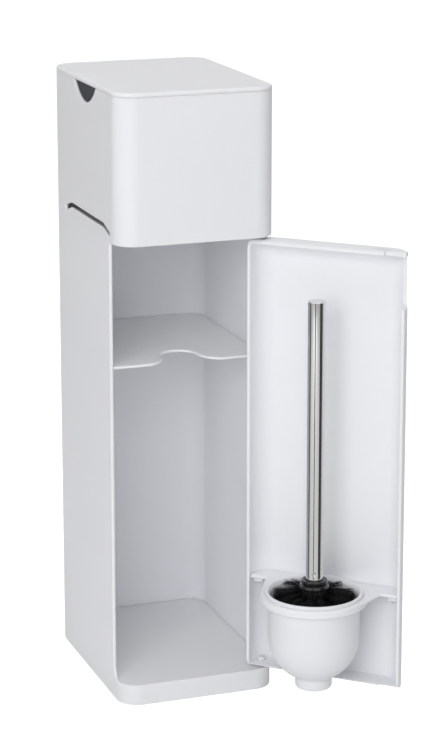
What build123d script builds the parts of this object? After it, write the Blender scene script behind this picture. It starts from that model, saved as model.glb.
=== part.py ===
from build123d import *
import math
import os

# A slim free-standing bathroom cabinet with a lidded upper compartment, a paper slot,
# a lower bay with a shelf, and a hinged door that carries a brush in its cup.
# Millimetres. X is the width, -Y is the front, +Z is up.
# The origin is on the floor, at the middle of the cabinet's footprint.
# The door and everything on it are drawn shut and then turned to the opening of the rest pose.

# Cabinet
WIDTH = 150.0
DEPTH = 206.0
HEIGHT = 568.0
CORNER_R = 20.0
WALL = 3.0
FIT = 0.15  # play round a plate that drops into the moulded walls

# Lid
LID_T = 4.0
LID_EDGE = 1.1  # bevel round the lid's top
LIP_T = 2.0
LIP_DEPTH = 7.0
LIP_PLAY = 0.4

# Finger notch in the left wall's top edge
NOTCH_R = 42.6
NOTCH_DROP = 17.0
NOTCH_Y = -3.8
NOTCH_LIP_GAP = 76.0

# Paper slot in the left wall
SLOT_H = 4.6
SLOT_Z = 443.4
SLOT_FRONT_Y = -74.0
SLOT_BACK_Y = 60.0
SLOT_END_RUN = 17.0
SLOT_END_DROP = 5.0

# Upper compartment and lower bay
BOX_BOTTOM = 431.0
BOX_FLOOR_T = 3.0
BAY_FLOOR = 19.4
BAY_FLOOR_T = 3.0
WALL_SETBACK = 28.8  # from the front plane back to the side walls' front edges
SWEEP_R = 12.5  # where a wall's front edge runs out into the plinth
TOP_SWEEP_R = 5.0
LEDGE_W = 2.5
LEDGE_H = 2.5

# Middle shelf
SHELF_TOP = 315.7
SHELF_T = 2.5
SHELF_SETBACK = 1.0  # behind the walls' front edges, clear of the turning door
SHELF_SLOT_X = -1.1
SHELF_SLOT_R = 17.2
SHELF_SLOT_END = 71.0  # from the front plane to the end of the slot
SHELF_MOUTH_LEFT = -36.6
SHELF_MOUTH_RIGHT = 32.3
SHELF_MOUTH_R = 4.0

# Base
COVER_RISE = 1.8  # room under the cover for the screw heads
COVER_T = 2.5
BOSS_R = 4.0
SCREW_X = 56.0
SCREW_SHANK_R = 1.5
SCREW_HEAD_R = 3.0
SCREW_HEAD_H = 1.4
SCREW_LENGTH = 12.0
FOOT_X = 50.0
FOOT_Y = 80.0
FOOT_R = 8.0

# Door, drawn shut
DOOR_BOTTOM = 21.7
DOOR_TOP = 428.4
HINGE_FLANGE = 26.7  # depth of the tray on the hinge side
FREE_FLANGE = 24.7
DOOR_EDGE = 1.1  # bevel round the door's upper and lower faces
DOOR_HEEL_R = 8.5  # round corners of the tray's rim, seen from the side
RECESS_DEPTH = 8.5  # what is left of the free flange at the finger recess
RECESS_RUN = 50.0
RECESS_R = 6.0

# Hinge
OPEN_DEG = 136.4
PIVOT_IN = 9.6  # from the right face
PIVOT_BACK = 10.8  # from the front plane
PIN_R = 2.0
PIN_PLAY = 0.05
BUSH_R = 3.0
BUSH_L = 6.0
PIN_BOSS_R = 3.6
PIN_BOSS_H = 3.0
PIN_GRIP = 5.5
WASHER_R = 4.0
PIN_HEAD_R = 2.8
PIN_HEAD_H = 1.2
PIN_HEAD_GAP = 0.3

# Magnetic catch
CATCH_X = -50.0
CATCH_BACK = 12.0
MAGNET = (12.0, 6.0, 2.0)
STRIKE = (14.0, 8.0, 1.0)

# Bracket that carries the cup
BRACKET_TOP = 112.1
BRACKET_T = 3.0
BRACKET_REACH = 24.2  # depth of the plate from the front plane
RING_R = 48.9
RING_H = 7.0
RING_BORE_R = 42.3
GUSSET_HALF = 56.0
CUP_BACK = 47.9  # from the front plane to the cup's axis
CUP_X = -1.2  # the ring stands a little towards the free side
LUG = (9.0, 9.0, 5.0)
LUG_X = 66.0
LUG_BACK = 15.0
BRACKET_SCREW_R = 1.2
BRACKET_SCREW_HEAD_R = 2.4
BRACKET_SCREW_HEAD_H = 1.4
BRACKET_SKIN = 0.8  # what is left of the plate above a screw's tip

# Cup
CUP_RIM_TOP = 114.9
CUP_RIM_R = 44.6
CUP_R = 41.6
CUP_WALL = 2.0
CUP_MOUTH_R = 42.2
CUP_FOOT_EDGE = 2.5
BOWL_STEPS = 5
BOWL_STEPS_INSIDE = 3
CUP_BOWL_Z = 71.8
CUP_FOOT_R = 16.8
CUP_FOOT_WALL = 2.2
CUP_BOTTOM = 23.3

# Brush
HANDLE_R = 7.9
HANDLE_WALL = 0.8
HANDLE_TOP = 384.8
END_T = 3.0
END_EDGE = 1.2
COLLAR_TOP = 126.0
COLLAR_R = 11.8
COLLAR_SEAT_R = 9.8
COLLAR_EDGE = 0.9
RING_TOP = 122.0
RING_BOTTOM = 118.0
COLLAR_RING_R = 13.6
TUBE_SEAT = 120.0
SPIGOT_TOP = 155.0
CORE_R = 10.5
CORE_BOTTOM = 40.0
CORE_END_R = 13.0
CORE_END_H = 3.0

# Bristles
SLEEVE_R = 13.0
SLEEVE_SIDES = 20
BRISTLE_ROWS = 15
BRISTLE_T = 0.9
BRISTLE_ROOT = 1.0
BRISTLE_REACH = 37.5
BRISTLE_LOW = 47.0
BRISTLE_HIGH = 110.0
BRISTLE_TO_BOWL = 3.0

# Places worked out from the dimensions above
FRONT = -DEPTH / 2
RIGHT = WIDTH / 2
SHELL_TOP = HEIGHT - LID_T
WALL_FRONT_Y = FRONT + WALL_SETBACK
SHELF_FRONT_Y = WALL_FRONT_Y + SHELF_SETBACK
PIVOT = (RIGHT - PIVOT_IN, FRONT + PIVOT_BACK)
CUP_AXIS = (CUP_X, FRONT + CUP_BACK)
REACH = 3 * DEPTH  # longer than anything that a cutter has to pass through


def footprint(inset):
    """The cabinet's outline seen from above, drawn in by an inset."""
    return RectangleRounded(WIDTH - 2 * inset, DEPTH - 2 * inset, CORNER_R - inset)


def plate(inset, bottom, top):
    """A plate with the cabinet's outline between two heights."""
    return Pos(0, 0, bottom) * extrude(footprint(inset), top - bottom)


def block(size, bottom_centre):
    """A box that stands on a point."""
    return Pos(*bottom_centre) * Box(*size, align=(Align.CENTER, Align.CENTER, Align.MIN))


def rod(radius, x, y, bottom, top):
    """An upright cylinder between two heights."""
    return Pos(x, y, bottom) * Cylinder(radius, top - bottom, align=(Align.CENTER, Align.CENTER, Align.MIN))


def from_side(outline):
    """Push an outline drawn as (Y, Z) through the whole width."""
    return extrude(Plane.YZ * outline, REACH, both=True)


def opened(shape):
    """Turn a shape on the door from shut to the rest pose."""
    return Pos(*PIVOT, 0) * Rot(0, 0, OPEN_DEG) * Pos(-PIVOT[0], -PIVOT[1], 0) * shape


def half_space(y_from, y_to):
    """Everything between two depths, as a cutter."""
    return Pos(0, (y_from + y_to) / 2, HEIGHT / 2) * Box(REACH, y_to - y_from, REACH)


def bay_window():
    """The lower bay's opening: front and side walls are cut away, swept at its back corners."""
    ahead = FRONT - WIDTH
    outline = make_face(
        Polyline(
            (ahead, BAY_FLOOR),
            (WALL_FRONT_Y, BAY_FLOOR),
            (WALL_FRONT_Y, BOX_BOTTOM),
            (ahead, BOX_BOTTOM),
            close=True,
        )
    )
    back_low = outline.vertices().sort_by(Axis.X)[-2:].sort_by(Axis.Y)[0]
    outline = fillet(back_low, SWEEP_R)
    back_high = outline.vertices().sort_by(Axis.Y)[-2:].sort_by(Axis.X)[-1]
    outline = fillet(back_high, TOP_SWEEP_R)
    return from_side(outline)


def paper_slot():
    """A long slot through the left wall whose ends bend down."""
    flat_front = SLOT_FRONT_Y + SLOT_END_RUN
    flat_back = SLOT_BACK_Y - SLOT_END_RUN
    tilt = math.degrees(math.atan2(SLOT_END_DROP, SLOT_END_RUN))
    run = math.hypot(SLOT_END_RUN, SLOT_END_DROP)
    outline = Pos((flat_front + flat_back) / 2, SLOT_Z) * SlotCenterToCenter(flat_back - flat_front, SLOT_H)
    for inner, way in ((flat_front, -1), (flat_back, 1)):
        middle = Pos(inner + way * SLOT_END_RUN / 2, SLOT_Z - SLOT_END_DROP / 2)
        outline += middle * Rot(0, 0, -way * tilt) * SlotCenterToCenter(run, SLOT_H)
    return Pos(-RIGHT, 0, 0) * extrude(Plane.YZ * outline, CORNER_R, both=True)


def ledge(top, y_front):
    """A narrow ledge inside the walls that a dropped-in plate rests on."""
    band = plate(WALL - FIT, top - LEDGE_H, top) - plate(WALL + LEDGE_W, top - LEDGE_H, top)
    return band - half_space(FRONT - WIDTH, y_front)


def housing_shell():
    """The moulded walls: a full box above, side and back walls below, and a low plinth."""
    shell = plate(0, 0, SHELL_TOP) - plate(WALL, 0, SHELL_TOP)
    shell -= bay_window()
    notch_z = SHELL_TOP - NOTCH_DROP + NOTCH_R
    notch = Pos(-RIGHT, NOTCH_Y, notch_z) * Rot(0, 90, 0) * Cylinder(NOTCH_R, CORNER_R)
    shell -= notch
    shell -= paper_slot()
    ledge_front = WALL_FRONT_Y + TOP_SWEEP_R
    shell += ledge(BOX_BOTTOM, ledge_front)
    shell += ledge(SHELF_TOP - SHELF_T, ledge_front + CORNER_R)
    shell += ledge(BAY_FLOOR - BAY_FLOOR_T, FRONT + CORNER_R + WALL)
    return shell


def upper_floor():
    """The floor of the upper compartment, with the seats of the top bush and the strike plate."""
    floor = plate(WALL + FIT, BOX_BOTTOM, BOX_BOTTOM + BOX_FLOOR_T)
    floor -= rod(BUSH_R, *PIVOT, BOX_BOTTOM, BOX_BOTTOM + BOX_FLOOR_T)
    floor -= block(STRIKE, (CATCH_X, FRONT + CATCH_BACK, BOX_BOTTOM))
    return floor


def bay_floor():
    """The floor of the lower bay, with the bottom bush's seat and the base cover's bosses."""
    floor = plate(WALL + FIT, BAY_FLOOR - BAY_FLOOR_T, BAY_FLOOR)
    floor -= rod(BUSH_R, *PIVOT, BAY_FLOOR - BAY_FLOOR_T, BAY_FLOOR)
    for x, y in screw_places():
        floor += rod(BOSS_R, x, y, COVER_RISE + COVER_T, BAY_FLOOR - BAY_FLOOR_T)
        floor -= rod(SCREW_SHANK_R, x, y, COVER_RISE + COVER_T, COVER_RISE - SCREW_HEAD_H + SCREW_LENGTH)
    return floor


def middle_shelf():
    """The shelf behind the handle, with a flared slot that the handle swings out through."""
    bottom = SHELF_TOP - SHELF_T
    shelf = plate(WALL + FIT, bottom, SHELF_TOP) - half_space(FRONT - WIDTH, SHELF_FRONT_Y)
    ahead = SHELF_FRONT_Y - WIDTH / 2
    end_y = FRONT + SHELF_SLOT_END - SHELF_SLOT_R
    left = SHELF_SLOT_X - SHELF_SLOT_R
    right = SHELF_SLOT_X + SHELF_SLOT_R
    left_mouth = (SHELF_MOUTH_LEFT, SHELF_FRONT_Y)
    right_mouth = (SHELF_MOUTH_RIGHT, SHELF_FRONT_Y)
    edges = [
        Line((SHELF_MOUTH_LEFT, ahead), left_mouth),
        TangentArc((left, end_y), left_mouth, tangent=(0, -1)),
        ThreePointArc((left, end_y), (SHELF_SLOT_X, end_y + SHELF_SLOT_R), (right, end_y)),
        TangentArc((right, end_y), right_mouth, tangent=(0, -1)),
        Line(right_mouth, (SHELF_MOUTH_RIGHT, ahead)),
        Line((SHELF_MOUTH_RIGHT, ahead), (SHELF_MOUTH_LEFT, ahead)),
    ]
    mouth = make_face(edges)
    shelf -= Pos(0, 0, bottom) * extrude(mouth, SHELF_T)
    corners = shelf.edges().filter_by(Axis.Z).filter_by(lambda e: abs(e.center().Y - SHELF_FRONT_Y) < 0.01)
    inner = corners.filter_by(lambda e: abs(e.center().X) < RIGHT / 2 + CORNER_R)
    return fillet(inner, SHELF_MOUTH_R)


def screw_places():
    """Where the base cover's screws stand."""
    return [(x, 0.0) for x in (-SCREW_X, SCREW_X)]


def foot_places():
    """Where the rubber pads sit."""
    return [(x, y) for x in (-FOOT_X, FOOT_X) for y in (-FOOT_Y, FOOT_Y)]


def screw(x, y, bottom, length, shank_r, head_r, head_h):
    """A flat-headed screw that points up, with a plain slot in its head."""
    head = rod(head_r, x, y, bottom, bottom + head_h)
    shank = rod(shank_r, x, y, bottom, bottom + length)
    slot = block((2 * head_r, shank_r / 2, head_h / 3), (x, y, bottom))
    return head + shank - slot


def base_cover():
    """The plate that closes the plinth from below."""
    cover = plate(WALL + FIT, COVER_RISE, COVER_RISE + COVER_T)
    for x, y in screw_places():
        cover -= rod(SCREW_SHANK_R, x, y, COVER_RISE, COVER_RISE + COVER_T)
    return cover


def base_screws():
    """The screws that hold the base cover to its bosses."""
    sizes = (SCREW_LENGTH, SCREW_SHANK_R, SCREW_HEAD_R, SCREW_HEAD_H)
    return [screw(x, y, COVER_RISE - SCREW_HEAD_H, *sizes) for x, y in screw_places()]


def rubber_feet():
    """Round pads under the cover, level with the plinth's lower edge."""
    return [rod(FOOT_R, x, y, 0, COVER_RISE) for x, y in foot_places()]


def bush(bottom, top):
    """A plain bush round the hinge line."""
    return rod(BUSH_R, *PIVOT, bottom, top) - rod(PIN_R + PIN_PLAY, *PIVOT, bottom, top)


def hinge_washer():
    """The washer that the door stands on."""
    ring = rod(WASHER_R, *PIVOT, BAY_FLOOR, DOOR_BOTTOM)
    return ring - rod(PIN_R + PIN_PLAY, *PIVOT, BAY_FLOOR, DOOR_BOTTOM)


def strike_plate():
    """The steel plate over the door's magnet."""
    return block(STRIKE, (CATCH_X, FRONT + CATCH_BACK, BOX_BOTTOM))


def lid_panel():
    """The lift-off lid, with a lip that stops short at the finger notch."""
    top = chamfer(plate(0, SHELL_TOP, HEIGHT).faces().sort_by(Axis.Z)[-1].edges(), LID_EDGE)
    outer = WALL + LIP_PLAY
    low = SHELL_TOP - LIP_DEPTH
    lip = plate(outer, low, SHELL_TOP) - plate(outer + LIP_T, low, SHELL_TOP)
    lip -= block((2 * CORNER_R, NOTCH_LIP_GAP, LIP_DEPTH), (-RIGHT, NOTCH_Y, low))
    return top + lip


def recess_cutter():
    """What the finger recess takes from the free flange, with a swept lower end."""
    keep_y = FRONT + RECESS_DEPTH
    low = DOOR_TOP - RECESS_RUN
    back = FRONT + 2 * FREE_FLANGE
    outline = make_face(
        Polyline((keep_y, low), (back, low), (back, DOOR_TOP - WALL), (keep_y, DOOR_TOP - WALL), close=True)
    )
    outline = fillet(outline.vertices().sort_by(Axis.X)[:2].sort_by(Axis.Y)[0], RECESS_R)
    whole = from_side(outline)
    side = Pos(-RIGHT, 0, HEIGHT / 2) * Box(2 * CORNER_R, REACH, REACH)
    return whole & side


def heeled(depth):
    """The tray's outline from the side, with round back corners, pushed through the whole width."""
    back = FRONT + depth
    outline = make_face(
        Polyline((FRONT, DOOR_BOTTOM), (back, DOOR_BOTTOM), (back, DOOR_TOP), (FRONT, DOOR_TOP), close=True)
    )
    return from_side(fillet(outline.vertices().sort_by(Axis.X)[-2:], DOOR_HEEL_R))


def door_shell():
    """The door: a shallow moulded tray, open to the back, with the pins' bosses and the bracket's lugs."""
    outer = plate(0, DOOR_BOTTOM, DOOR_TOP)
    ends = outer.faces().sort_by(Axis.Z)
    outer = chamfer(ends[0].edges() + ends[-1].edges(), DOOR_EDGE) & heeled(HINGE_FLANGE)
    tray = outer - plate(WALL, DOOR_BOTTOM + WALL, DOOR_TOP - WALL)
    free_side = Pos(-RIGHT, 0, 0) * Box(2 * CORNER_R, REACH, 2 * REACH)
    tray -= free_side - heeled(FREE_FLANGE)
    tray -= recess_cutter()
    for low in (DOOR_BOTTOM + WALL, DOOR_TOP - WALL - PIN_BOSS_H):
        tray += rod(PIN_BOSS_R, *PIVOT, low, low + PIN_BOSS_H)
    tray += lugs()
    tray -= rod(PIN_R, *PIVOT, DOOR_BOTTOM, DOOR_BOTTOM + PIN_GRIP)
    tray -= rod(PIN_R, *PIVOT, DOOR_TOP - PIN_GRIP, DOOR_TOP)
    pocket_z = DOOR_TOP - WALL
    tray -= block(MAGNET, (CATCH_X, FRONT + CATCH_BACK, pocket_z))
    return tray


def lug_places():
    """Where the bracket's lugs and screws stand."""
    return [(x, FRONT + LUG_BACK) for x in (-LUG_X, LUG_X)]


def lugs():
    """Two blocks in the door's corners that the bracket is screwed down to."""
    low = BRACKET_TOP - BRACKET_T - LUG[2]
    both = Part()
    for x, y in lug_places():
        both += block(LUG, (x, y, low)) & plate(WALL / 2, low, low + LUG[2])
        both -= rod(BRACKET_SCREW_R, x, y, low, low + LUG[2])
    return both


def hinge_pin_top():
    """The upper pin, dropped in from the compartment and pressed into the door."""
    neck_top = BOX_BOTTOM + BUSH_L + PIN_HEAD_GAP
    pin = rod(PIN_R, *PIVOT, DOOR_TOP - PIN_GRIP, neck_top)
    return pin + rod(PIN_HEAD_R, *PIVOT, neck_top, neck_top + PIN_HEAD_H)


def hinge_pin_bottom():
    """The lower pin, pressed into the door from below."""
    return rod(PIN_R, *PIVOT, BAY_FLOOR - BUSH_L + PIN_HEAD_GAP, DOOR_BOTTOM + PIN_GRIP)


def door_magnet():
    """The magnet under the door's top flange."""
    return block(MAGNET, (CATCH_X, FRONT + CATCH_BACK, DOOR_TOP - WALL))


def brush_bracket():
    """A plate across the door that swells into the ring that holds the cup."""
    axis = Pos(*CUP_AXIS)
    edge_y = FRONT + BRACKET_REACH
    inside = footprint(WALL + FIT)
    bore = axis * Circle(RING_BORE_R)
    root = Pos(0, edge_y - WALL / 2) * Rectangle(2 * GUSSET_HALF, WALL)
    swell = make_hull((root + axis * Circle(RING_R)).edges())
    across = inside & Pos(0, edge_y - DEPTH / 2) * Rectangle(WIDTH, DEPTH)
    top = (across + (swell & inside)) - bore
    band = (axis * Circle(RING_R) & inside) - bore
    bracket = Pos(0, 0, BRACKET_TOP - BRACKET_T) * extrude(top, BRACKET_T)
    bracket += Pos(0, 0, BRACKET_TOP - RING_H) * extrude(band, RING_H)
    for x, y in lug_places():
        bracket -= rod(BRACKET_SCREW_R, x, y, BRACKET_TOP - BRACKET_T, BRACKET_TOP - BRACKET_SKIN)
    return bracket


def bracket_screws():
    """The screws that come up through the lugs into the bracket."""
    head_z = BRACKET_TOP - BRACKET_T - LUG[2] - BRACKET_SCREW_HEAD_H
    length = BRACKET_TOP - BRACKET_SKIN - head_z
    sizes = (length, BRACKET_SCREW_R, BRACKET_SCREW_HEAD_R, BRACKET_SCREW_HEAD_H)
    return [screw(x, y, head_z, *sizes) for x, y in lug_places()]


def turned(edges, axis_xy):
    """A solid of revolution about an upright line, from a closed outline of radius and height."""
    profile = Plane.XZ * make_face(edges)
    return Pos(*axis_xy, 0) * revolve(profile, Axis.Z)


def bowl(radius, from_r, steps):
    """Points down a half-round bowl, from its widest circle to a radius near the axis."""
    turn = math.acos(from_r / radius)
    angles = [turn * step / steps for step in range(steps + 1)]
    return [(radius * math.cos(angle), CUP_BOWL_Z - radius * math.sin(angle)) for angle in angles]


def brush_cup():
    """The cup: a round wall with a rim flange above, a half-round bowl and a hollow foot below."""
    inner_r = CUP_R - CUP_WALL
    foot_in = CUP_FOOT_R - CUP_FOOT_WALL
    outside = bowl(CUP_R, CUP_FOOT_R, BOWL_STEPS)
    inside = bowl(inner_r, foot_in, BOWL_STEPS_INSIDE)
    floor_z = inside[-1][1]
    outline = Polyline(
        (0, floor_z),
        *reversed(inside),
        (inner_r, CUP_RIM_TOP - (CUP_MOUTH_R - inner_r)),
        (CUP_MOUTH_R, CUP_RIM_TOP),
        (CUP_RIM_R, CUP_RIM_TOP),
        (CUP_RIM_R, BRACKET_TOP),
        (CUP_R, BRACKET_TOP),
        *outside,
        (CUP_FOOT_R, CUP_BOTTOM + CUP_FOOT_EDGE),
        (CUP_FOOT_R - CUP_FOOT_EDGE / 2, CUP_BOTTOM),
        (foot_in, CUP_BOTTOM),
        (foot_in, floor_z - CUP_WALL),
        (0, floor_z - CUP_WALL),
        close=True,
    )
    return turned(outline, CUP_AXIS)


def handle_tube():
    """The polished tube, with its welded end plate."""
    whole = rod(HANDLE_R, *CUP_AXIS, TUBE_SEAT, HANDLE_TOP)
    whole = chamfer(whole.edges().sort_by(Axis.Z)[-1], END_EDGE)
    return whole - rod(HANDLE_R - HANDLE_WALL, *CUP_AXIS, TUBE_SEAT, HANDLE_TOP - END_T)


def brush_core():
    """The rod that carries the bristles: an end disc below, a collar with a dished seat and a spigot above."""
    spigot_r = HANDLE_R - HANDLE_WALL - FIT
    outline = Polyline(
        (0, CORE_BOTTOM),
        (CORE_END_R, CORE_BOTTOM),
        (CORE_END_R, CORE_BOTTOM + CORE_END_H),
        (CORE_R, CORE_BOTTOM + CORE_END_H),
        (CORE_R, RING_BOTTOM),
        (COLLAR_RING_R, RING_BOTTOM),
        (COLLAR_RING_R, RING_TOP - COLLAR_EDGE),
        (COLLAR_RING_R - COLLAR_EDGE, RING_TOP),
        (COLLAR_R - COLLAR_EDGE, RING_TOP),
        (COLLAR_R, COLLAR_TOP),
        (COLLAR_SEAT_R, COLLAR_TOP),
        (HANDLE_R, COLLAR_TOP - (COLLAR_SEAT_R - HANDLE_R)),
        (HANDLE_R, TUBE_SEAT),
        (spigot_r, TUBE_SEAT),
        (spigot_r, SPIGOT_TOP),
        (0, SPIGOT_TOP),
        close=True,
    )
    return turned(outline, CUP_AXIS)


def bristle_reach(z):
    """How far a bristle at this height reaches from the brush's axis."""
    if z >= CUP_BOWL_Z:
        return BRISTLE_REACH
    inside = math.sqrt((CUP_R - CUP_WALL) ** 2 - (CUP_BOWL_Z - z) ** 2)
    return min(BRISTLE_REACH, inside - BRISTLE_TO_BOWL)


def bristles():
    """Straight bristles that stand out of the flat sides of a sleeve, in staggered rows."""
    x, y = CUP_AXIS
    sleeve_low = CORE_BOTTOM + CORE_END_H
    height = RING_BOTTOM - sleeve_low
    outline = RegularPolygon(SLEEVE_R, SLEEVE_SIDES, major_radius=False) - Circle(CORE_R)
    sleeve = Pos(0, 0, sleeve_low) * extrude(outline, height)
    step = (BRISTLE_HIGH - BRISTLE_LOW) / (BRISTLE_ROWS - 0.5)
    turn = 360.0 / SLEEVE_SIDES
    side_turn = turn / 2 if is_corner_at_x(outline) else 0.0
    root = SLEEVE_R - BRISTLE_ROOT
    strands = []
    for side in range(SLEEVE_SIDES):
        lift = step / 2 if side % 2 else 0.0
        for row in range(BRISTLE_ROWS):
            z = BRISTLE_LOW + row * step + lift
            length = bristle_reach(z) - root
            strand = Box(length, BRISTLE_T, BRISTLE_T, align=(Align.MIN, Align.CENTER, Align.CENTER))
            strands.append(Rot(0, 0, side * turn + side_turn) * Pos(root, 0, z) * strand)
    head = sleeve.fuse(*strands)
    return Pos(x, y, 0) * head


def is_corner_at_x(outline):
    """Whether the sleeve's outline has a corner on the X axis rather than the middle of a side."""
    return max(v.X for v in outline.vertices()) > SLEEVE_R + 0.01


def write(name, shapes):
    """Save one node, which may be a group of like solids."""
    if isinstance(shapes, list):
        shapes = Compound(children=shapes)
    export_step(shapes, os.path.join("parts", name + ".step"))


def main():
    os.makedirs("parts", exist_ok=True)
    write("housing_shell", housing_shell())
    write("upper_floor", upper_floor())
    write("bay_floor", bay_floor())
    write("middle_shelf", middle_shelf())
    write("base_cover", base_cover())
    write("base_screws", base_screws())
    write("rubber_feet", rubber_feet())
    write("hinge_bush_top", bush(BOX_BOTTOM, BOX_BOTTOM + BUSH_L))
    write("hinge_bush_bottom", bush(BAY_FLOOR - BUSH_L, BAY_FLOOR))
    write("hinge_washer", hinge_washer())
    write("strike_plate", strike_plate())
    write("lid_panel", lid_panel())
    write("door_shell", opened(door_shell()))
    write("hinge_pin_top", opened(hinge_pin_top()))
    write("hinge_pin_bottom", opened(hinge_pin_bottom()))
    write("door_magnet", opened(door_magnet()))
    write("brush_bracket", opened(brush_bracket()))
    write("bracket_screws", [opened(screw) for screw in bracket_screws()])
    write("brush_cup", opened(brush_cup()))
    write("handle_tube", opened(handle_tube()))
    write("brush_core", opened(brush_core()))
    write("bristles", opened(bristles()))


main()
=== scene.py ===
import math
import random

import bmesh
import bpy
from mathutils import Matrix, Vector


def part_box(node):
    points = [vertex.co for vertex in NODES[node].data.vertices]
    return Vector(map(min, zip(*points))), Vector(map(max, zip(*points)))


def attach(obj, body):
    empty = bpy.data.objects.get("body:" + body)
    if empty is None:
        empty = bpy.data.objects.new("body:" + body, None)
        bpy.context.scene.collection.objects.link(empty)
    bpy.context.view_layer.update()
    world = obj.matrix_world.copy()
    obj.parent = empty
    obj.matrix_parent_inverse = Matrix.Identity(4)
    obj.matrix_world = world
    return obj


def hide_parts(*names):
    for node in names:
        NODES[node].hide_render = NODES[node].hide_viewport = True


bl_info = {
    "name": "Toilet butler",
    "version": (1, 0, 0),
    "blender": (4, 5, 0),
    "location": "View3D > Sidebar > Butler",
    "description": "Dresses the packed cabinet, its door and its brush, and sets up a plain studio",
    "category": "Object",
}

# The CAD frame, in metres, with the cabinet's front towards -Y
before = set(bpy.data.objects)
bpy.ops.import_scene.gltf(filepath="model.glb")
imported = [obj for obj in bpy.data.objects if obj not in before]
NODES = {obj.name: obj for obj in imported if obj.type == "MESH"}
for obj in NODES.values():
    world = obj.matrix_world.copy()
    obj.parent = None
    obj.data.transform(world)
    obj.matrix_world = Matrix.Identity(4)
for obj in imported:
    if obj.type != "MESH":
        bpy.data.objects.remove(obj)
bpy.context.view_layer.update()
MM = 0.001

# CAD nodes that keep their own mesh, by finish
INNER_NODES = ("upper_floor", "bay_floor")
PLATED_NODES = ("base_screws", "bracket_screws", "strike_plate", "door_magnet", "hinge_pin_top", "hinge_pin_bottom")
ACETAL_NODES = ("hinge_bush_top", "hinge_bush_bottom", "hinge_washer")

# Dark screens round the brush, seen only in reflections, that paint dark reflection bands onto the tube: name,
# direction in degrees, distance and width in metres, shade
FLAGS = (
    ("flag_right", -47.0, 0.28, 0.2, 0.1),
    ("flag_left", -194.5, 0.2, 0.084, 0.25),
    ("flag_middle", -124.7, 0.28, 0.054, 0.25),
)

# The cup's bowl, in millimetres: height of its centre, inner radius and outer radius
BOWL_Z, BOWL_IN, BOWL_OUT = 71.8, 39.6, 41.6

# Mouldings that are shown with rounded edges: node, body, slot, edge radius in millimetres
ROUNDED = (
    ("housing_shell", "cabinet", "housing", 0.8),
    ("middle_shelf", "cabinet", "inner_plate", 0.7),
    ("lid_panel", "lid", "lid", 0.7),
    ("door_shell", "door", "door", 0.8),
    ("brush_bracket", "door", "bracket", 1.2),
)


# Settings that a user would change


class StudioSettings(bpy.types.PropertyGroup):
    """The floor, the light and the camera."""

    camera_place: bpy.props.FloatVectorProperty(
        name="Camera place", description="Where the camera stands", subtype="TRANSLATION",
        unit="LENGTH", default=(-0.7194, -2.1562, 0.8966),
    )
    camera_turn: bpy.props.FloatVectorProperty(
        name="Camera turn", description="How the camera is turned", subtype="EULER",
        default=(math.radians(76.956), 0.0, math.radians(-19.868)),
    )
    lens: bpy.props.FloatProperty(
        name="Lens", description="Focal length in millimetres on a 36 mm frame", default=120.10,
    )
    shift_y: bpy.props.FloatProperty(
        name="Shift", description="How far the picture is slid down, as a share of its long side", default=-0.12,
    )
    floor_colour: bpy.props.FloatVectorProperty(
        name="Floor colour", description="Colour of the floor", subtype="COLOR", default=(0.97, 0.97, 0.97),
    )
    floor_lift: bpy.props.FloatProperty(
        name="Floor lift", description="How much paler the camera sees the floor than it is lit", default=0.74,
    )
    floor_size: bpy.props.FloatProperty(
        name="Floor size", description="Width of the floor", unit="LENGTH", default=40.0,
    )
    world_strength: bpy.props.FloatProperty(
        name="Room light", description="Strength of the light from all round", default=0.34,
    )
    key_power: bpy.props.FloatProperty(
        name="Key power", description="Power of the large lamp in front", unit="POWER", default=35.5,
    )
    top_power: bpy.props.FloatProperty(
        name="Top power", description="Power of the large lamp above", unit="POWER", default=15.0,
    )


class MouldingSettings(bpy.types.PropertyGroup):
    """The white and black mouldings."""

    white: bpy.props.FloatVectorProperty(
        name="White", description="Colour of the white mouldings", subtype="COLOR", default=(0.892, 0.9, 0.932),
    )
    # Painted light: the shelf and the floors get a paler copy of the white moulding, which stands in for more light in
    # the bay.
    inner_white_painted_paler: bpy.props.FloatVectorProperty(
        name="Inner white, painted paler", description="Colour of the shelf and the floors, painted paler to stand in for light in the bay", subtype="COLOR",
        default=(0.96, 0.968, 0.992),
    )
    black: bpy.props.FloatVectorProperty(
        name="Black", description="Colour of the black mouldings", subtype="COLOR", default=(0.012, 0.012, 0.013),
    )
    white_roughness: bpy.props.FloatProperty(
        name="White roughness", description="How dull the white mouldings are", subtype="FACTOR", default=0.38,
    )
    shine: bpy.props.FloatProperty(
        name="Shine", description="How strongly the white mouldings reflect", subtype="FACTOR", default=0.3,
    )
    wave_size: bpy.props.FloatProperty(
        name="Wave size", description="Length of the shallow waves in a moulded skin", unit="LENGTH", default=0.05,
    )
    glow: bpy.props.FloatProperty(
        name="Glow", description="Share of the light that passes into the white walls", subtype="FACTOR", default=0.8,
    )
    edge_scale: bpy.props.FloatProperty(
        name="Edge rounding", description="Share of the listed edge radii", subtype="FACTOR", default=1.0,
    )


class MetalSettings(bpy.types.PropertyGroup):
    """The polished tube and the plated parts."""

    steel: bpy.props.FloatVectorProperty(
        name="Steel", description="Colour of the polished tube", subtype="COLOR", default=(0.72, 0.715, 0.71),
    )
    plated: bpy.props.FloatVectorProperty(
        name="Plated", description="Colour of screws, pins and catch", subtype="COLOR", default=(0.55, 0.55, 0.56),
    )
    steel_roughness: bpy.props.FloatProperty(
        name="Steel roughness", description="How dull the tube is", subtype="FACTOR", default=0.05,
    )
    crimp_height: bpy.props.FloatProperty(
        name="Crimp height", description="Height of the crimp above the floor", unit="LENGTH", default=0.1325,
    )
    crimp_depth: bpy.props.FloatProperty(
        name="Crimp depth", description="Depth of the crimp", unit="LENGTH", default=0.0003,
    )
    crimp_radius: bpy.props.FloatProperty(
        name="Crimp radius", description="Reach of the crimp", unit="LENGTH", default=0.0017,
    )


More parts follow.
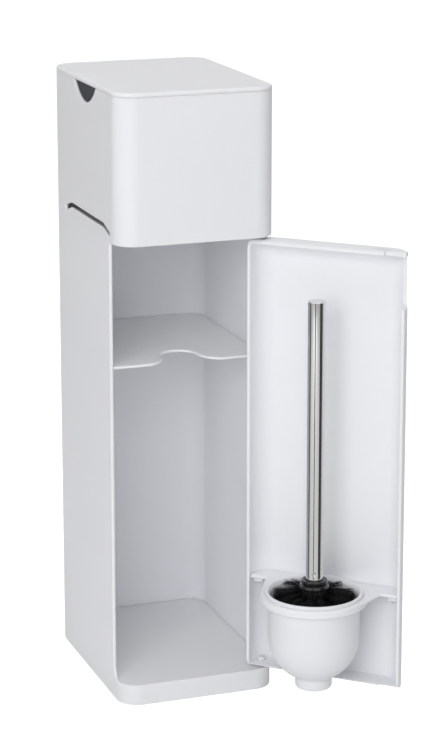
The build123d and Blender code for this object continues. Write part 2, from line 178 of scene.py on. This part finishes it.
class BristleSettings(bpy.types.PropertyGroup):
    """The brush head."""

    rows: bpy.props.IntProperty(name="Rows", description="Rings of tufts on the sleeve", default=21)
    tufts: bpy.props.IntProperty(name="Tufts", description="Tufts in a ring", default=15)
    strands: bpy.props.IntProperty(name="Strands", description="Strands in a tuft", default=27)
    splay: bpy.props.FloatProperty(name="Splay", description="How widely a tuft fans out, in radians", default=0.075)
    top_gap: bpy.props.FloatProperty(
        name="Top gap", description="From the top ring of tufts up to the head's highest tips", unit="LENGTH",
        default=0.0045,
    )
    root_radius: bpy.props.FloatProperty(
        name="Root radius", description="Where the strands start", unit="LENGTH", default=0.0126,
    )
    thickness: bpy.props.FloatProperty(
        name="Thickness", description="Diameter of a strand", unit="LENGTH", default=0.00042,
    )
    colour: bpy.props.FloatVectorProperty(
        name="Bristle colour", description="Colour of the nylon", subtype="COLOR", default=(0.004, 0.004, 0.0045),
    )
    seed: bpy.props.IntProperty(name="Seed", description="Start of the random draws", default=7)


# Small helpers for node trees


def new_group(name, inputs, outputs):
    """An empty shader group with float or colour sockets, and its input and output nodes."""
    group = bpy.data.node_groups.new(name, "ShaderNodeTree")
    for label, kind, value in inputs:
        socket = group.interface.new_socket(label, in_out="INPUT", socket_type=kind)
        socket.default_value = value
    for label, kind in outputs:
        group.interface.new_socket(label, in_out="OUTPUT", socket_type=kind)
    return group, group.nodes.new("NodeGroupInput"), group.nodes.new("NodeGroupOutput")


def noise(tree, vector, scale, detail=2.0, roughness=0.5):
    """A noise texture that reads a place on the surface."""
    node = tree.nodes.new("ShaderNodeTexNoise")
    node.inputs["Scale"].default_value = scale
    node.inputs["Detail"].default_value = detail
    node.inputs["Roughness"].default_value = roughness
    tree.links.new(vector, node.inputs["Vector"])
    return node


def remap(tree, value, low, high, to_low, to_high):
    """A value stretched from one range to another."""
    node = tree.nodes.new("ShaderNodeMapRange")
    node.inputs["From Min"].default_value = low
    node.inputs["From Max"].default_value = high
    node.inputs["To Min"].default_value = to_low
    node.inputs["To Max"].default_value = to_high
    tree.links.new(value, node.inputs["Value"])
    return node.outputs["Result"]


def maths(tree, operation, first, second):
    """Two values put together. Each is a socket or a plain number."""
    node = tree.nodes.new("ShaderNodeMath")
    node.operation = operation
    for socket, value in zip(node.inputs, (first, second)):
        if isinstance(value, float):
            socket.default_value = value
        else:
            tree.links.new(value, socket)
    return node.outputs["Value"]


def darkened(tree, colour, amount):
    """A colour made darker by an amount from 0 to 1."""
    mix = tree.nodes.new("ShaderNodeMix")
    mix.data_type = "RGBA"
    tree.links.new(amount, mix.inputs["Factor"])
    tree.links.new(colour, mix.inputs["A"])
    mix.inputs["B"].default_value = (0.0, 0.0, 0.0, 1.0)
    return mix.outputs["Result"]


# Shared effects


def moulded_skin_group():
    """Long, shallow waves, faint clouding and slightly uneven gloss, as a moulded skin has."""
    group, given, out = new_group(
        "moulded skin",
        [
            ("Colour", "NodeSocketColor", (0.8, 0.8, 0.8, 1.0)),
            ("Roughness", "NodeSocketFloat", 0.3),
            ("Wave scale", "NodeSocketFloat", 30.0),
            ("Clouding", "NodeSocketFloat", 0.03),
        ],
        [("Colour", "NodeSocketColor"), ("Roughness", "NodeSocketFloat"), ("Height", "NodeSocketFloat")],
    )
    place = group.nodes.new("ShaderNodeTexCoord").outputs["Object"]
    cloud = noise(group, place, 7.0, 0.0)
    waves = noise(group, place, 30.0, 0.0)
    group.links.new(given.outputs["Wave scale"], waves.inputs["Scale"])
    amount = maths(group, "MULTIPLY", cloud.outputs["Fac"], given.outputs["Clouding"])
    group.links.new(darkened(group, given.outputs["Colour"], amount), out.inputs["Colour"])
    smudge = noise(group, place, 12.0, 0.0)
    wobble = maths(group, "MULTIPLY", maths(group, "SUBTRACT", smudge.outputs["Fac"], 0.5), 0.08)
    group.links.new(maths(group, "ADD", given.outputs["Roughness"], wobble), out.inputs["Roughness"])
    group.links.new(waves.outputs["Fac"], out.inputs["Height"])
    return group


def polish_group():
    """Fine lines left along a tube by polishing, with a soft smear of handling."""
    group, given, out = new_group(
        "polish lines",
        [("Roughness", "NodeSocketFloat", 0.12), ("Stretch", "NodeSocketFloat", 0.02)],
        [("Roughness", "NodeSocketFloat"), ("Height", "NodeSocketFloat")],
    )
    place = group.nodes.new("ShaderNodeTexCoord").outputs["Object"]
    mapping = group.nodes.new("ShaderNodeMapping")
    group.links.new(place, mapping.inputs["Vector"])
    scale = group.nodes.new("ShaderNodeCombineXYZ")
    scale.inputs["X"].default_value = 1.0
    scale.inputs["Y"].default_value = 1.0
    group.links.new(given.outputs["Stretch"], scale.inputs["Z"])
    group.links.new(scale.outputs["Vector"], mapping.inputs["Scale"])
    lines = noise(group, mapping.outputs["Vector"], 1800.0, 2.0)
    smear = noise(group, place, 30.0, 3.0)
    dulled = remap(group, smear.outputs["Fac"], 0.35, 0.8, 0.0, 0.03)
    group.links.new(maths(group, "ADD", given.outputs["Roughness"], dulled), out.inputs["Roughness"])
    group.links.new(lines.outputs["Fac"], out.inputs["Height"])
    return group


def shared(name, maker):
    """A shared group, built the first time that it is asked for."""
    return bpy.data.node_groups.get(name) or maker()


# Materials


def bare_material(name):
    """A material with only a Principled shader and its output."""
    material = bpy.data.materials.new(name)
    material.use_nodes = True
    tree = material.node_tree
    shader = tree.nodes["Principled BSDF"]
    return material, tree, shader


def place_group(tree, group, **values):
    """A shared group in a material's tree, with its inputs set."""
    node = tree.nodes.new("ShaderNodeGroup")
    node.node_tree = group
    for name, value in values.items():
        node.inputs[name.replace("_", " ")].default_value = value
    return node


def bump(tree, height, shader, strength, distance):
    """Height turned into the shader's normal."""
    node = tree.nodes.new("ShaderNodeBump")
    node.inputs["Strength"].default_value = strength
    node.inputs["Distance"].default_value = distance
    tree.links.new(height, node.inputs["Height"])
    tree.links.new(node.outputs["Normal"], shader.inputs["Normal"])


def moulded_material(name, colour, roughness, wave_size, wave_depth, clouding=0.03, coat=0.0, glow=0.0, shine=0.5):
    """A moulded plastic: uneven gloss and a skin with long, shallow waves."""
    material, tree, shader = bare_material(name)
    skin = place_group(
        tree, shared("moulded skin", moulded_skin_group),
        Colour=(*colour, 1.0), Roughness=roughness, Wave_scale=1.0 / wave_size, Clouding=clouding,
    )
    tree.links.new(skin.outputs["Colour"], shader.inputs["Base Color"])
    tree.links.new(skin.outputs["Roughness"], shader.inputs["Roughness"])
    bump(tree, skin.outputs["Height"], shader, 0.3, wave_depth)
    shader.inputs["Specular IOR Level"].default_value = shine
    shader.inputs["Coat Weight"].default_value = coat
    shader.inputs["Coat Roughness"].default_value = 0.08
    shader.inputs["Subsurface Weight"].default_value = glow
    shader.inputs["Subsurface Radius"].default_value = (1.0, 1.0, 1.0)
    shader.inputs["Subsurface Scale"].default_value = 0.003
    return material


def steel_material(name, colour, roughness, stretch):
    """Steel with fine lines along Z."""
    material, tree, shader = bare_material(name)
    polish = place_group(
        tree, shared("polish lines", polish_group), Roughness=roughness, Stretch=stretch,
    )
    shader.inputs["Base Color"].default_value = (*colour, 1.0)
    shader.inputs["Metallic"].default_value = 1.0
    tree.links.new(polish.outputs["Roughness"], shader.inputs["Roughness"])
    bump(tree, polish.outputs["Height"], shader, 0.08, 0.00005)
    return material


def nylon_material(colour):
    """Black nylon: nearly black, with a soft shine that varies from strand to strand."""
    material, tree, shader = bare_material("black nylon")
    place = tree.nodes.new("ShaderNodeTexCoord").outputs["Object"]
    vary = noise(tree, place, 900.0, 2.0)
    shader.inputs["Base Color"].default_value = (*colour, 1.0)
    shader.inputs["Specular IOR Level"].default_value = 0.3
    tree.links.new(remap(tree, vary.outputs["Fac"], 0.3, 0.7, 0.4, 0.65), shader.inputs["Roughness"])
    return material


def clothe(names, material):
    """Give CAD nodes a material in all their slots."""
    for name in names:
        mesh = NODES[name].data
        if not mesh.materials:
            mesh.materials.append(material)
        for index in range(len(mesh.materials)):
            mesh.materials[index] = material


# Pieces


def rounded_mesh(node, radius, segments=3):
    """A copy of a CAD node's mesh, joined up, with its outward edges rounded."""
    shape = bmesh.new()
    shape.from_mesh(NODES[node].data)
    bmesh.ops.remove_doubles(shape, verts=shape.verts[:], dist=0.01 * MM)
    flat = math.radians(0.5)
    bmesh.ops.dissolve_limit(shape, angle_limit=flat, verts=shape.verts[:], edges=shape.edges[:])
    sharp = math.radians(40.0)
    edges = [edge for edge in shape.edges if edge.is_manifold and edge.is_convex and edge.calc_face_angle() > sharp]
    bmesh.ops.bevel(
        shape, geom=edges, offset=radius, offset_type="OFFSET", segments=segments, profile=0.5, affect="EDGES",
        clamp_overlap=False,
    )
    mesh = bpy.data.meshes.new(node + "_rounded")
    shape.to_mesh(mesh)
    shape.free()
    if "custom_normal" in mesh.attributes:
        mesh.attributes.remove(mesh.attributes["custom_normal"])
    mesh.shade_smooth()
    mesh.set_sharp_from_angle(angle=sharp)
    return mesh


def new_piece(name, mesh, material, body, nodes):
    """A visual piece with one material that rides on a body and stands for CAD nodes."""
    mesh.materials.clear()
    mesh.materials.append(material)
    for face in mesh.polygons:
        face.material_index = 0
    piece = bpy.data.objects.new(name, mesh)
    bpy.context.scene.collection.objects.link(piece)
    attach(piece, body)
    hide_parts(*nodes)
    return piece


def filleted(corners, steps=5):
    """An open outline of radius and height, in millimetres, with rounded corners.

    Each corner is (radius, height, how far the rounding reaches along its two sides)."""
    points = []
    for index, (radius, height, reach) in enumerate(corners):
        here = Vector((radius, height))
        if reach == 0:
            points.append(here)
            continue
        before = Vector(corners[index - 1][:2]) - here
        after = Vector(corners[index + 1][:2]) - here
        start = here + before.normalized() * min(reach, before.length / 2)
        end = here + after.normalized() * min(reach, after.length / 2)
        for step in range(steps + 1):
            share = step / steps
            points.append(start.lerp(here, share).lerp(here.lerp(end, share), share))
    return points


def lathe(name, axis, outline, sides=96):
    """A mesh turned about an upright line through a point, from an outline in millimetres."""
    shape = bmesh.new()
    rings = []
    for radius, height in outline:
        if radius < 1e-6:
            rings.append([shape.verts.new((axis.x, axis.y, height * MM))] * sides)
            continue
        ring = []
        for side in range(sides):
            angle = math.tau * side / sides
            x = axis.x + radius * MM * math.cos(angle)
            y = axis.y + radius * MM * math.sin(angle)
            ring.append(shape.verts.new((x, y, height * MM)))
        rings.append(ring)
    for low, high in zip(rings, rings[1:]):
        for side in range(sides):
            after = (side + 1) % sides
            corners = [low[side], low[after], high[after], high[side]]
            shape.faces.new(list(dict.fromkeys(corners)))
    bmesh.ops.recalc_face_normals(shape, faces=shape.faces[:])
    mesh = bpy.data.meshes.new(name)
    shape.to_mesh(mesh)
    shape.free()
    mesh.shade_smooth()
    mesh.set_sharp_from_angle(angle=math.radians(40.0))
    return mesh


def brush_axis():
    """The middle of the brush seen from above, at the floor."""
    low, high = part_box("handle_tube")
    return Vector(((low.x + high.x) / 2, (low.y + high.y) / 2, 0.0))


def bowl(centre, radius, from_r, to_r, steps=14):
    """Points along a round bowl below a height, from one radius to another."""
    first, last = math.acos(from_r / radius), math.acos(to_r / radius)
    angles = [first + (last - first) * step / steps for step in range(steps + 1)]
    return [Vector((radius * math.cos(angle), centre - radius * math.sin(angle))) for angle in angles]


class BUTLER_OT_mouldings(bpy.types.Operator):
    """Round the edges of the white mouldings and finish them"""

    bl_idname = "butler.mouldings"
    bl_label = "White mouldings"

    def execute(self, context):
        look = context.scene.butler_moulding
        white = moulded_material(
            "white gloss moulding", look.white, look.white_roughness, look.wave_size, 0.0002, glow=look.glow,
            shine=look.shine,
        )
        # Painted light: same roughness and shine as the white gloss, but a paler colour that stands in for more light
        # on the shelf and the floors.
        inner = moulded_material(
            "white inner moulding painted paler", look.inner_white_painted_paler, look.white_roughness, look.wave_size, 0.0003, glow=look.glow,
            shine=look.shine,
        )
        for node, body, slot, radius in ROUNDED:
            mesh = rounded_mesh(node, radius * MM * look.edge_scale)
            piece = new_piece(node + "_rounded", mesh, inner if slot == "inner_plate" else white, body, [node])
            piece.modifiers.new("even shading", "WEIGHTED_NORMAL").keep_sharp = True
        clothe(INNER_NODES, inner)
        grey = moulded_material("grey base moulding", (0.6, 0.6, 0.61), 0.5, look.wave_size, 0.0003)
        clothe(["base_cover"], grey)
        return {"FINISHED"}


class BUTLER_OT_cup(bpy.types.Operator):
    """Turn the cup, with its beaded rim, its round bowl and its foot"""

    bl_idname = "butler.cup"
    bl_label = "Cup"

    def execute(self, context):
        look = context.scene.butler_moulding
        rim = filleted([(39.6, 108.0, 0), (39.8, 111.2, 1.0), (41.9, 114.9, 1.2), (44.6, 114.9, 1.3), (44.6, 112.15, 0)])
        foot = filleted([
            (17.5, 33.9, 0), (16.8, 33.3, 0.5), (16.8, 23.3, 3.0), (12.0, 23.3, 0.6), (12.0, 31.6, 0), (0.0, 31.6, 0),
        ])
        inside = bowl(BOWL_Z, BOWL_IN, 13.0, BOWL_IN)
        outside = bowl(BOWL_Z, BOWL_OUT, BOWL_OUT, 17.6)
        outline = [Vector((0.0, inside[0].y))] + inside + rim + [Vector((41.7, 112.15))] + outside + foot
        white = moulded_material("white cup moulding", look.white, look.white_roughness - 0.05, look.wave_size, 0.0001)
        new_piece("cup_shell", lathe("cup_shell", brush_axis(), outline, 128), white, "cup", ["brush_cup"])
        return {"FINISHED"}


class BUTLER_OT_dark_parts(bpy.types.Operator):
    """Turn the black collar with its sleeve, and finish the pads and the bushes"""

    bl_idname = "butler.dark_parts"
    bl_label = "Collar, sleeve, pads and bushes"

    def execute(self, context):
        look = context.scene.butler_moulding
        outline = filleted([
            (0.0, 124.4, 0), (8.4, 124.4, 0.4), (9.7, 126.0, 0.3), (11.8, 126.0, 0.8), (11.6, 123.0, 0.4),
            (10.6, 122.2, 0.3), (13.0, 121.6, 0.7), (13.6, 119.0, 0.6), (13.0, 117.8, 0.3), (13.0, 43.0, 0),
            (13.0, 40.0, 0.8), (0.0, 40.0, 0),
        ])
        black = moulded_material("black gloss moulding", look.black, 0.2, look.wave_size, 0.0001, coat=0.3)
        new_piece("brush_collar", lathe("brush_collar", brush_axis(), outline), black, "brush", ["brush_core"])
        clothe(["rubber_feet"], moulded_material("black rubber", (0.03, 0.03, 0.03), 0.75, 0.004, 0.0002))
        clothe(ACETAL_NODES, moulded_material("natural acetal", (0.72, 0.72, 0.7), 0.4, 0.02, 0.0001))
        return {"FINISHED"}


class BUTLER_OT_metal_parts(bpy.types.Operator):
    """Turn the polished tube, with its crimp, and finish the screws, the pins and the catch"""

    bl_idname = "butler.metal_parts"
    bl_label = "Tube, screws, pins and catch"

    def execute(self, context):
        look = context.scene.butler_metal
        top, foot, radius = 384.8, 123.0, 7.9
        crimp = look.crimp_height / MM
        near = [Vector((radius, crimp + 5.0 - step * 0.4)) for step in range(26)]
        outline = filleted([(0.0, top, 0), (radius, top, 1.2), (radius, crimp + 6.0, 0)]) + near
        outline += [Vector((radius, foot)), Vector((0.0, foot))]
        mesh = lathe("handle", brush_axis(), outline, 160)
        self.press_crimp(mesh, brush_axis(), crimp * MM, look.crimp_depth, look.crimp_radius)
        steel = steel_material("polished steel", look.steel, look.steel_roughness, 0.02)
        new_piece("handle", mesh, steel, "brush", ["handle_tube"])
        clothe(PLATED_NODES, steel_material("plated steel", look.plated, 0.3, 1.0))
        return {"FINISHED"}

    def press_crimp(self, mesh, axis, height, depth, radius):
        """A small round dent that holds the tube on the collar, on the side away from the door."""
        out = Vector((-0.376, -0.927, 0.0))
        centre = axis + out * 0.0079 + Vector((0.0, 0.0, height))
        for vertex in mesh.vertices:
            share = (vertex.co - centre).length / radius
            vertex.co -= out * depth * math.exp(-share * share)


def strand(verts, faces, root, tip, bow, thickness, turn):
    """One bowed, tapering strand of three sides, added to lists of points and faces."""
    along = (tip - root).normalized()
    side = along.orthogonal().normalized()
    other = along.cross(side)
    first = len(verts)
    stations = ((0.0, 1.0), (0.5, 0.95), (1.0, 0.7))
    for share, width in stations:
        centre = root.lerp(tip, share) + bow * math.sin(math.pi * share)
        for corner in range(3):
            angle = turn + corner * math.tau / 3
            verts.append(centre + (side * math.cos(angle) + other * math.sin(angle)) * thickness / 2 * width)
    for station in range(len(stations) - 1):
        low = first + 3 * station
        for corner in range(3):
            after = (corner + 1) % 3
            faces.append((low + corner, low + after, low + 3 + after, low + 3 + corner))
    faces.append((first + 2, first + 1, first))
    end = first + 3 * (len(stations) - 1)
    faces.append((end, end + 1, end + 2))


def bristle_reach(height, reach, gap=0.0015):
    """How far a strand may reach at a height, so that its tip stays inside the cup's bowl."""
    below = BOWL_Z * MM - height
    if below <= 0:
        return reach
    inside = BOWL_IN * MM - gap
    return min(reach, math.sqrt(max(inside * inside - below * below, 0.0001)))


class BUTLER_OT_bristle_head(bpy.types.Operator):
    """Build the brush head from rings of splayed, slightly drooping tufts"""

    bl_idname = "butler.bristle_head"
    bl_label = "Bristle head"

    def execute(self, context):
        look = context.scene.butler_bristles
        draw = random.Random(look.seed)
        low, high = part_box("bristles")
        axis = (low + high) / 2
        reach = 1.03 * (high.x - low.x) / 2
        foot, head = low.z + 0.004, high.z - look.top_gap
        verts, faces = [], []
        for row in range(look.rows):
            height = foot + (head - foot) * row / (look.rows - 1)
            for tuft in range(look.tufts):
                angle = math.tau * (tuft + 0.5 * (row % 2)) / look.tufts + draw.uniform(-0.06, 0.06)
                self.add_tuft(verts, faces, draw, look, axis, height, angle, reach, foot)
        mesh = bpy.data.meshes.new("bristle_head")
        mesh.from_pydata(verts, [], faces)
        mesh.shade_smooth()
        new_piece("bristle_head", mesh, nylon_material(look.colour), "brush", ["bristles"])
        return {"FINISHED"}

    def add_tuft(self, verts, faces, draw, look, axis, height, angle, reach, foot):
        """Strands that share a root on the sleeve, droop together and splay towards their tips."""
        droop = draw.uniform(-0.0045, 0.0003)
        for _ in range(look.strands):
            spread = draw.gauss(0.0, look.splay)
            end = max(height + droop + draw.gauss(0.0, 0.0016), foot - 0.003)
            length = bristle_reach(end, reach) * (1.0 - abs(draw.gauss(0.0, 0.06)))
            out = Vector((math.cos(angle + spread), math.sin(angle + spread), 0.0))
            start = Vector((math.cos(angle), math.sin(angle), 0.0)) * look.root_radius
            sideways = Vector((-math.sin(angle), math.cos(angle), 0.0)) * draw.uniform(-0.001, 0.001)
            root = Vector((axis.x, axis.y, height + draw.uniform(-0.001, 0.001))) + start + sideways
            tip = Vector((axis.x, axis.y, end)) + out * length
            bow = Vector((0.0, 0.0, draw.uniform(0.0, 0.0016)))
            strand(verts, faces, root, tip, bow, look.thickness, draw.uniform(0.0, math.tau))


# Studio


def area_lamp(name, place, target, width, height, power):
    """A large soft lamp that faces a point."""
    light = bpy.data.lights.new(name, "AREA")
    light.shape = "RECTANGLE"
    light.size = width
    light.size_y = height
    light.energy = power
    lamp = bpy.data.objects.new(name, light)
    lamp.location = place
    lamp.rotation_euler = (Vector(target) - Vector(place)).to_track_quat("-Z", "Y").to_euler()
    lamp.visible_glossy = False
    bpy.context.scene.collection.objects.link(lamp)
    return lamp


def studio_world(strength):
    """Plain light all round, and white wherever the camera or a reflection sees past the object."""
    world = bpy.data.worlds.new("studio")
    bpy.context.scene.world = world
    world.use_nodes = True
    tree = world.node_tree
    tree.nodes.clear()
    path = tree.nodes.new("ShaderNodeLightPath")
    plain = tree.nodes.new("ShaderNodeBackground")
    white = tree.nodes.new("ShaderNodeBackground")
    plain.inputs["Color"].default_value = (1.0, 1.0, 1.0, 1.0)
    plain.inputs["Strength"].default_value = strength
    white.inputs["Color"].default_value = (1.0, 1.0, 1.0, 1.0)
    white.inputs["Strength"].default_value = 1.0
    seen = tree.nodes.new("ShaderNodeMath")
    seen.operation = "MAXIMUM"
    tree.links.new(path.outputs["Is Camera Ray"], seen.inputs[0])
    tree.links.new(path.outputs["Is Glossy Ray"], seen.inputs[1])
    seen_too = tree.nodes.new("ShaderNodeMath")
    seen_too.operation = "MAXIMUM"
    tree.links.new(seen.outputs["Value"], seen_too.inputs[0])
    tree.links.new(path.outputs["Is Transmission Ray"], seen_too.inputs[1])
    mix = tree.nodes.new("ShaderNodeMixShader")
    tree.links.new(seen_too.outputs["Value"], mix.inputs["Fac"])
    tree.links.new(plain.outputs["Background"], mix.inputs[1])
    tree.links.new(white.outputs["Background"], mix.inputs[2])
    out = tree.nodes.new("ShaderNodeOutputWorld")
    tree.links.new(mix.outputs["Shader"], out.inputs["Surface"])


def floor_material(colour, lift):
    """A matt pale floor that the camera sees a little paler than it is lit."""
    material, tree, shader = bare_material("studio floor")
    shader.inputs["Base Color"].default_value = (*colour, 1.0)
    shader.inputs["Roughness"].default_value = 0.9
    shader.inputs["Specular IOR Level"].default_value = 0.0
    shader.inputs["Emission Color"].default_value = (1.0, 1.0, 1.0, 1.0)
    path = tree.nodes.new("ShaderNodeLightPath")
    scaled = tree.nodes.new("ShaderNodeMath")
    scaled.operation = "MULTIPLY"
    scaled.inputs[1].default_value = lift
    tree.links.new(path.outputs["Is Camera Ray"], scaled.inputs[0])
    tree.links.new(scaled.outputs["Value"], shader.inputs["Emission Strength"])
    return material


def dark_flag(name, centre, facing, width, height, shade):
    """An upright dark screen that only reflections show. It paints dark reflection bands on the tube and the other
    glossy surfaces.
    """
    across = Vector((-facing.y, facing.x, 0.0)).normalized() * width / 2
    rise = Vector((0.0, 0.0, height / 2))
    mesh = bpy.data.meshes.new(name)
    corners = [centre - across - rise, centre + across - rise, centre + across + rise, centre - across + rise]
    mesh.from_pydata(corners, [], [(0, 1, 2, 3)])
    material, tree, shader = bare_material(name)
    shader.inputs["Base Color"].default_value = (shade, shade, shade, 1.0)
    shader.inputs["Roughness"].default_value = 1.0
    mesh.materials.append(material)
    flag = bpy.data.objects.new(name, mesh)
    flag.visible_camera = False
    flag.visible_diffuse = False
    flag.visible_shadow = False
    flag.visible_transmission = False
    flag.visible_volume_scatter = False
    bpy.context.scene.collection.objects.link(flag)


class BUTLER_OT_studio(bpy.types.Operator):
    """Set up the floor, the lamps, the flags, the world and the camera"""

    bl_idname = "butler.studio"
    bl_label = "Studio"

    def execute(self, context):
        look = context.scene.butler_studio
        scene = context.scene
        scene.view_settings.view_transform = "Standard"
        mesh = bpy.data.meshes.new("studio_floor")
        half = look.floor_size / 2
        mesh.from_pydata([(-half, -half, 0), (half, -half, 0), (half, half, 0), (-half, half, 0)], [], [(0, 1, 2, 3)])
        mesh.materials.append(floor_material(look.floor_colour, look.floor_lift))
        floor = bpy.data.objects.new("studio_floor", mesh)
        floor.location.z = -0.0002
        scene.collection.objects.link(floor)
        studio_world(look.world_strength)
        middle = (0.03, -0.08, 0.28)
        area_lamp("key_lamp", (-1.42, -2.2, 1.25), middle, 1.9, 1.6, look.key_power)
        area_lamp("top_lamp", (0.1, -0.2, 2.6), middle, 2.4, 2.4, look.top_power)
        # Painted reflections: dark screens that only glossy rays see, set round the brush to lay dark bands on the
        # tube.
        for name, turn, distance, width, shade in FLAGS:
            facing = Vector((math.cos(math.radians(turn)), math.sin(math.radians(turn)), 0.0))
            centre = brush_axis() + facing * distance + Vector((0.0, 0.0, 0.23))
            dark_flag(name, centre, facing, width, 0.44, shade)
        camera_data = bpy.data.cameras.new("camera")
        camera_data.lens = look.lens
        camera_data.shift_y = look.shift_y
        camera = bpy.data.objects.new("camera", camera_data)
        camera.location = look.camera_place
        camera.rotation_euler = look.camera_turn
        scene.collection.objects.link(camera)
        scene.camera = camera
        return {"FINISHED"}


class BUTLER_PT_panel(bpy.types.Panel):
    """Lists the pieces and the studio in the sidebar"""

    bl_label = "Toilet butler"
    bl_space_type = "VIEW_3D"
    bl_region_type = "UI"
    bl_category = "Butler"

    def draw(self, context):
        for operator in OPERATORS:
            self.layout.operator(operator.bl_idname)


SETTINGS = (
    ("butler_studio", StudioSettings),
    ("butler_moulding", MouldingSettings),
    ("butler_metal", MetalSettings),
    ("butler_bristles", BristleSettings),
)
OPERATORS = (
    BUTLER_OT_studio,
    BUTLER_OT_mouldings,
    BUTLER_OT_cup,
    BUTLER_OT_dark_parts,
    BUTLER_OT_metal_parts,
    BUTLER_OT_bristle_head,
)


def register():
    for name, settings in SETTINGS:
        bpy.utils.register_class(settings)
        setattr(bpy.types.Scene, name, bpy.props.PointerProperty(type=settings))
    for operator in OPERATORS:
        bpy.utils.register_class(operator)
    bpy.utils.register_class(BUTLER_PT_panel)


def unregister():
    bpy.utils.unregister_class(BUTLER_PT_panel)
    for operator in reversed(OPERATORS):
        bpy.utils.unregister_class(operator)
    for name, settings in reversed(SETTINGS):
        delattr(bpy.types.Scene, name)
        bpy.utils.unregister_class(settings)


def main():
    register()
    bpy.ops.butler.studio()
    bpy.ops.butler.mouldings()
    bpy.ops.butler.cup()
    bpy.ops.butler.dark_parts()
    bpy.ops.butler.metal_parts()
    bpy.ops.butler.bristle_head()


if __name__ == "__main__":
    main()
